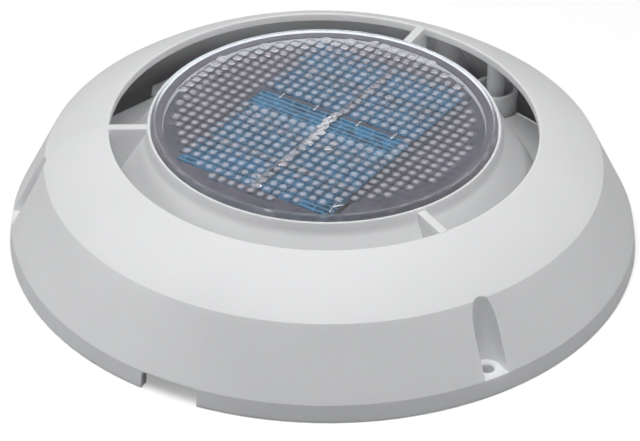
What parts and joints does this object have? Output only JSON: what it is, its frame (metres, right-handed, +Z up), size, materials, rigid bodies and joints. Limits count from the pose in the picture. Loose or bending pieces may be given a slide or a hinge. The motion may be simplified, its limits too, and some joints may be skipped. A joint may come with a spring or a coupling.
{
  "type": "solar marine vent",
  "caption": "Round low deck vent: white moulded cover with a ring-shaped air gap, a solar panel under a clear bumped lens, and a small motor-driven fan over a screened duct.",
  "frame": {"origin": "centre of the lip's foot, on the deck surface", "axes": "+Z up along the vent's own axis, which is the fan's axis; one spoke and screw pocket point along -X"},
  "size_m": [0.2158, 0.2158, 0.0464],
  "materials": {
    "white_cover": "satin white, UV-stable moulding",
    "clear_lens": "clear moulded polycarbonate",
    "black_rubber": "closed-cell gasket",
    "dark_board": "dark laminate board",
    "blue_cells": "blue crystalline silicon under encapsulant",
    "tinned_ribbon": "tinned copper strip",
    "red_wire": "red insulation",
    "black_wire": "black insulation",
    "plated_steel": "zinc-plated drawn steel",
    "black_plastic": "moulded black nylon",
    "brass": "stamped brass",
    "ferrite": "pressed ferrite",
    "bronze": "sintered bronze",
    "grey_plastic": "moulded grey plastic",
    "screw_steel": "stainless steel",
    "shaft_steel": "ground steel",
    "laminated_steel": "stacked laminations",
    "copper": "enamelled copper",
    "base_plastic": "moulded pale grey plastic",
    "screen_net": "moulded net",
    "foam": "closed-cell foam"
  },
  "bodies": {
    "vent": {"vent_cover": "white_cover", "solar_lens": "clear_lens", "lens_gasket": "black_rubber", "solar_board": "dark_board", "solar_cells": "blue_cells", "cell_ribbons": "tinned_ribbon", "red_lead": "red_wire", "black_lead": "black_wire", "motor_can": "plated_steel", "motor_end_cap": "black_plastic", "motor_terminals": "brass", "motor_brushes": "brass", "motor_magnets": "ferrite", "lower_bearing": "bronze", "upper_bearing": "bronze", "motor_retainer": "grey_plastic", "retainer_screws": "screw_steel", "base_plate": "base_plastic", "rain_baffle": "base_plastic", "baffle_screws": "screw_steel", "base_screws": "screw_steel", "insect_screen": "screen_net", "screen_retainer": "grey_plastic", "deck_seal": "foam"},
    "fan": {"motor_shaft": "shaft_steel", "armature_core": "laminated_steel", "armature_coils": "copper", "commutator": "copper", "fan_impeller": "black_plastic", "push_nut": "screw_steel"}
  },
  "joints": [
    {"name": "fan_spin", "type": "hinge", "parent": "vent", "child": "fan", "pos_m": [0, 0, 0.0115], "axis": [0, 0, 1], "continuous": true}
  ]
}
